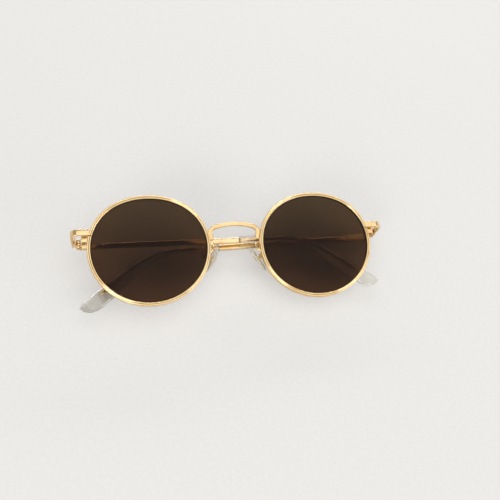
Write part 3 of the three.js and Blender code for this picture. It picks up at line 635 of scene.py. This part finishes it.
# Tip: a sleeve that flares below the line behind the ear and ends in a slanted round nose.
mouthAt, mouthShare = np.array(tip["mouthEase"]).T
mouth = bar["sleeveStart"] + tip["mouthGap"] + mouthAt
noseStart = bar["length"] - tip["nose"]
sleeve = np.linspace(mouth[-1] + 1, noseStart, tip["sleeveSteps"])
intoNose = np.sin(np.linspace(0, np.pi / 2, tip["noseSteps"] + 1))[1:] * tip["noseEnd"]
tipLength = np.concatenate([mouth, sleeve, noseStart + tip["nose"] * intoNose])
tipShare = np.concatenate([mouthShare, np.ones(len(sleeve) + len(intoNose))])
noseShare = (1 - intoNose ** tip["nosePower"]) ** (1 / tip["nosePower"])
taper = np.concatenate([np.ones(len(mouth) + len(sleeve)), noseShare])
ramp = np.clip((tipLength - bar["bendStart"]) / (noseStart - bar["bendStart"]), 0, 1)
flare = ramp * ramp * (3 - 2 * ramp)
sleeveHalf = tip["height"] / 2
lost = (tip["above"] + tip["below"]) * (1 - taper)  # the end slants: the lower edge gives up most of it
tipAbove = tipShare * (sleeveHalf + (tip["above"] - sleeveHalf) * flare) - tip["noseLean"] * lost
tipBelow = tipShare * (sleeveHalf + (tip["below"] - sleeveHalf) * flare) - (1 - tip["noseLean"]) * lost
thinned = tip["thick"] / 2 * (1 - taper * tipShare)
tipLow = -templeOuter + tip["soleShare"] * thinned
tipHigh = tip["thick"] - templeOuter - thinned
tipRings = templeRings(tipLength, cutStrip(tipAbove, tipBelow, tipLow, tipHigh, tip["cut"]))
for side in sides:
    droopPlace = swings[side] @ turned("Z", droops[side])
    makePiece("templeBar_" + side, [ringFaces(barRings, droopPlace), ringFaces(coreRings, droopPlace)],
              polishedGold, "temple_" + side, "gold_metal", "temple_" + side)
    makePiece("earTip_" + side, [ringFaces(tipRings, droopPlace)],
              clearTip, "temple_" + side, "clear_tip", "temple_tip_" + side)
print("temples done")

# Nose pads on looped wire arms: the pad's metal insert rocks on a small screw in a box at the arm's end.
pad = {"length": 13.0, "width": 7.2, "thick": 1.9, "standOff": 1.0, "drop": 5.8, "setBack": 6.0,
       "leanDeg": 31.0, "splayDeg": 22.0, "sizePower": 0.5, "levelPower": 0.9, "lift": 0.05,
       "noseShare": 0.65, "backShare": 0.35, "slim": 0.1, "rows": 41, "steps": 72}
insert = {"width": 2.4, "length": 3.6, "thick": 0.5, "postWidth": 1.0, "postLength": 2.0, "postOver": 0.9,
          "edge": 0.12, "boreFit": 0.1}
padBox = {"wall": 0.6, "length": 2.4, "screw": 0.4, "screwHeight": 2.05, "head": 0.7, "slot": 0.22,
          "run": 0.2, "fit": 0.25, "edge": 0.14,
          "lap": 0.03}  # the cheeks end this far inside the base's faces
arm = {"radius": 0.5, "foot": 3.0, "bulge": 1.2, "rise": 1.5, "back": 2.0, "overBox": 0.25, "inBox": 0.1,
       "steps": 110, "around": 20}
lean, splay = np.radians(pad["leanDeg"]), np.radians(pad["splayDeg"])
padAlong = np.array((-np.sin(lean), np.cos(lean), 0))
padAway = np.array((np.cos(lean) * np.cos(splay), np.sin(lean) * np.cos(splay), np.sin(splay)))
padX = lensSpacing / 2 - ovalReach(rimOuter, -pad["drop"]) - pad["standOff"]
padPlace = np.eye(4)
padPlace[:3, :3] = np.stack([np.cross(padAlong, padAway), padAlong, padAway], -1)
padPlace[:3, 3] = (padX, -pad["drop"], -pad["setBack"])

# Pad: rings of an oval, their size the power of a cosine and their level that of a sine, nose side fuller.
rise = np.linspace(-np.pi / 2, np.pi / 2, pad["rows"])[:, None]
around = np.arange(pad["steps"]) * 2 * np.pi / pad["steps"]
ringSize = np.abs(np.cos(rise)) ** pad["sizePower"]
domed = np.sign(rise) * np.abs(np.sin(rise)) ** pad["levelPower"]
ringLevel = pad["thick"] * (pad["lift"] + np.where(rise < 0, pad["noseShare"], pad["backShare"]) * domed)
narrow = 1 - pad["slim"] * np.sin(around)  # slimmer towards the brow
padRings = np.stack(np.broadcast_arrays(
    ringSize * pad["width"] / 2 * np.cos(around) * narrow,
    ringSize * pad["length"] / 2 * np.sin(around), ringLevel), -1)

# Insert: a plate in the pad's back and a drilled post that stands on it.
plateHigh = (pad["lift"] + pad["backShare"]) * pad["thick"]
plateLow = plateHigh - insert["thick"]
plate = softBlock((-insert["width"] / 2, -insert["length"] / 2, plateLow),
                  (insert["width"] / 2, insert["length"] / 2, plateHigh), insert["edge"])
postTop = padBox["screwHeight"] + insert["postOver"]
post = drilledBlock(insert["postWidth"] / 2, insert["postLength"] / 2, plateLow, postTop,
                    padBox["screw"] + insert["boreFit"], padBox["screwHeight"], insert["edge"])

# Box: a base and two cheeks round the post, with room for the post's corners to swing.
boxFloor = padBox["screwHeight"] + np.hypot(insert["postLength"] / 2, insert["postOver"]) + padBox["run"]
boxTop = boxFloor + padBox["wall"]
boxHalf = insert["postWidth"] / 2 + padBox["fit"] + padBox["wall"]
boxLong = padBox["length"] / 2
boxLow = padBox["screwHeight"] - padBox["screw"] - padBox["run"] - padBox["wall"] / 2
cheekLong = boxLong - padBox["lap"]
cheek = softBlock((boxHalf - padBox["wall"], -cheekLong, boxLow),
                  (boxHalf - padBox["lap"], cheekLong, boxTop - padBox["lap"]), padBox["edge"])
base = softBlock((-boxHalf, -boxLong, boxFloor), (boxHalf, boxLong, boxTop), padBox["edge"])
boxBlocks = [cheek, cheek * (-1, 1, 1), base]
padScrew = slottedScrew(padBox["screw"], padBox["head"], -boxHalf, boxHalf + padBox["run"], padBox["screw"],
                        padBox["slot"])

# Arm: a wire from the rim that loops back and comes down on the box.
footX = lensSpacing / 2 - ovalReach(rimOuter, -arm["foot"])
wire = arm["radius"]
aboveBox = boxTop + arm["overBox"]
armLoop = [(footX + wire, -arm["foot"], lensMiddle), (footX - arm["bulge"], -arm["rise"], lensMiddle - wire),
           (footX - arm["bulge"], arm["rise"] / 2, -rimDepth - wire),
           (footX + wire, arm["rise"], -rimDepth - arm["back"])]
armEnd = np.array([(0, boxLong, aboveBox + 3 * wire), (0, 0, aboveBox + wire), (0, 0, boxTop - arm["inBox"])])
armPoints = np.vstack([armLoop, armEnd @ padPlace[:3, :3].T + padPlace[:3, 3]])
armPath = throughPoints(armPoints, arm["steps"])
armRings = carried(armPath, *pathSides(armPath), softOval(wire, wire, 1.0, arm["around"]))
for side, sign in sides.items():
    seat = frontPlace @ np.diag((sign, 1, 1, 1)) @ padPlace
    screwSeat = seat @ turned("Y", 90, (0, 0, padBox["screwHeight"]))
    makePiece("nosePad_" + side, [ringFaces(padRings, seat)],
              clearPad, "pad_" + side, "clear_pad", "nose_pad_" + side)
    makePiece("padInsert_" + side, [ringFaces(plate, seat), ringFaces(post, seat, capped=False)],
              polishedGold, "pad_" + side, "gold_metal", "pad_insert_" + side)
    makePiece("padBox_" + side, [ringFaces(block, seat) for block in boxBlocks],
              polishedGold, "front", "gold_metal", "pad_box_" + side)
    makePiece("padScrew_" + side, [ringFaces(shell, screwSeat) for shell in padScrew],
              turnedScrew, "front", "gold_screw", "pad_screw_" + side)
    makePiece("padArm_" + side, [ringFaces(armRings, frontPlace, sign)],
              polishedGold, "front", "gold_metal", "pad_arm_" + side)
print("nose pads done")

# Studio tent round the table: bright at the table's level, dimmer above it.
surround = {"tone": "#FFFFFF", "table": 0.85, "above": 0.4, "fadeFrom": 0.12, "fadeTo": 0.5}

# Pale matt floor just under the temple that the glasses lie on; far from them it fades into the tent.
# It is a translucent sheet, so that temples swung down below it still show.
floorLook = {"tones": [(0.3, "#E3E0DB"), (0.7, "#E8E5E0")], "grainMm": 1.5, "roughness": 0.9, "half": 1.5,
             "level": -0.0001, "fadeFrom": 0.3, "fadeTo": 0.8, "through": 0.45}
floorPaint, tree = newMaterial("paleMattFloor")
where = addNode(tree, "ShaderNodeTexCoord")
grain = addNode(tree, "ShaderNodeTexNoise", {"Scale": perMm(floorLook["grainMm"])}, {
    "Vector": (where, "Object")})
tone = addNode(tree, "ShaderNodeValToRGB", {"stops": floorLook["tones"]}, {"Fac": (grain, "Fac")})
shader = addNode(tree, "ShaderNodeBsdfPrincipled", {"Roughness": floorLook["roughness"]}, {
    "Base Color": (tone, "Color")})
away = addNode(tree, "ShaderNodeVectorMath", {"operation": "LENGTH"}, {0: (where, "Object")})
fade = addNode(tree, "ShaderNodeMapRange", {
    "interpolation_type": "SMOOTHSTEP", "From Min": floorLook["fadeFrom"], "From Max": floorLook["fadeTo"]}, {
    "Value": (away, "Value")})
ray = addNode(tree, "ShaderNodeLightPath")
mirrored = addNode(tree, "ShaderNodeMath", {"operation": "MAXIMUM"}, {
    0: (ray, "Is Glossy Ray"), 1: (ray, "Is Transmission Ray")})
seen = addNode(tree, "ShaderNodeMath", {"operation": "MAXIMUM"}, {
    0: (ray, "Is Camera Ray"), 1: (mirrored, "Value")})
tentShare = addNode(tree, "ShaderNodeMath", {"operation": "MULTIPLY"}, {
    0: (fade, "Result"), 1: (seen, "Value")})
tent = addNode(tree, "ShaderNodeEmission", {
    "Color": fromHex(surround["tone"]), "Strength": surround["table"]})
blend = addNode(tree, "ShaderNodeMixShader", {}, {
    "Fac": (tentShare, "Value"), 1: (shader, "BSDF"), 2: (tent, "Emission")})
passing = addNode(tree, "ShaderNodeMath", {"operation": "MAXIMUM"}, {
    0: (ray, "Is Camera Ray"), 1: (ray, "Is Shadow Ray")})
through = addNode(tree, "ShaderNodeMath", {"operation": "MULTIPLY", 1: floorLook["through"]}, {
    0: (passing, "Value")})
below = addNode(tree, "ShaderNodeBsdfTransparent")
sheet = addNode(tree, "ShaderNodeMixShader", {}, {
    "Fac": (through, "Value"), 1: (blend, "Shader"), 2: (below, "BSDF")})
addNode(tree, "ShaderNodeOutputMaterial", {}, {"Surface": (sheet, "Shader")})
half, level = floorLook["half"], floorLook["level"]
corners = [(-half, -half, level), (half, -half, level), (half, half, level), (-half, half, level)]
floorMesh = bpy.data.meshes.new("floor")
floorMesh.from_pydata(corners, [], [(0, 1, 2, 3)])
floorMesh.materials.append(floorPaint)
floor = bpy.data.objects.new("floor", floorMesh)
bpy.context.scene.collection.objects.link(floor)

# Camera at the photograph's angle: direction from the aim point, then a roll about the view.
view = {"aim": (0.006501, -0.002150, 0.015594), "azimuthDeg": -24.228, "elevationDeg": 63.452,
        "rollDeg": 18.9, "distance": 0.265, "lensMm": 42.26, "sensorMm": 36, "near": 0.01}
cameraData = bpy.data.cameras.new("camera")
cameraData.lens = view["lensMm"]
cameraData.sensor_width = view["sensorMm"]
cameraData.clip_start = view["near"]
camera = bpy.data.objects.new("camera", cameraData)
bpy.context.scene.collection.objects.link(camera)
bpy.context.scene.camera = camera
look = turned("Z", view["azimuthDeg"]) @ turned("X", 90 - view["elevationDeg"]) @ turned("Z", view["rollDeg"])
backOff = Matrix.Translation((0, 0, view["distance"]))
camera.matrix_world = Matrix.Translation(view["aim"]) @ Matrix(look.tolist()) @ backOff

# Soft studio light in the tent: a large panel above, and low ones for the edges and the clear tips.
panels = {
    "topPanel": {"azimuth": 95, "elevation": 76, "wide": 1.0, "high": 1.0, "watts": 2.7, "tone": "#FFFEFC"},
    "keyPanel": {"azimuth": -36, "elevation": 30, "wide": 0.42, "high": 0.3, "watts": 2.1, "tone": "#FFFAF2"},
    "sidePanel": {"azimuth": 60, "elevation": 18, "wide": 0.5, "high": 0.24, "watts": 1.4, "tone": "#FFFFFF"},
    "backPanel": {"azimuth": 172, "elevation": 16, "wide": 1.0, "high": 0.08, "watts": 3.5, "tone": "#FFFFFF"}
}
panelDistance = 0.8
world = bpy.data.worlds.new("studio")
bpy.context.scene.world = world
world.use_nodes = True
tree = world.node_tree
tree.nodes.clear()
toward = addNode(tree, "ShaderNodeTexCoord")
upward = addNode(tree, "ShaderNodeSeparateXYZ", {}, {"Vector": (toward, "Generated")})
glow = addNode(tree, "ShaderNodeMapRange", {
    "From Min": surround["fadeFrom"], "From Max": surround["fadeTo"],
    "To Min": surround["table"], "To Max": surround["above"]}, {"Value": (upward, "Z")})
sky = addNode(tree, "ShaderNodeBackground", {"Color": fromHex(surround["tone"])}, {
    "Strength": (glow, "Result")})
addNode(tree, "ShaderNodeOutputWorld", {}, {"Surface": (sky, "Background")})
for name, panel in panels.items():
    light = bpy.data.lights.new(name, "AREA")
    light.shape = "RECTANGLE"
    light.size, light.size_y = panel["wide"], panel["high"]
    light.energy = panel["watts"]
    light.color = fromHex(panel["tone"])[:3]
    lamp = bpy.data.objects.new(name, light)
    bpy.context.scene.collection.objects.link(lamp)
    facing = turned("Z", panel["azimuth"]) @ turned("X", 90 - panel["elevation"])
    lamp.matrix_world = Matrix(facing.tolist()) @ Matrix.Translation((0, 0, panelDistance))
bpy.context.scene.view_settings.view_transform = "Standard"
print("studio done")
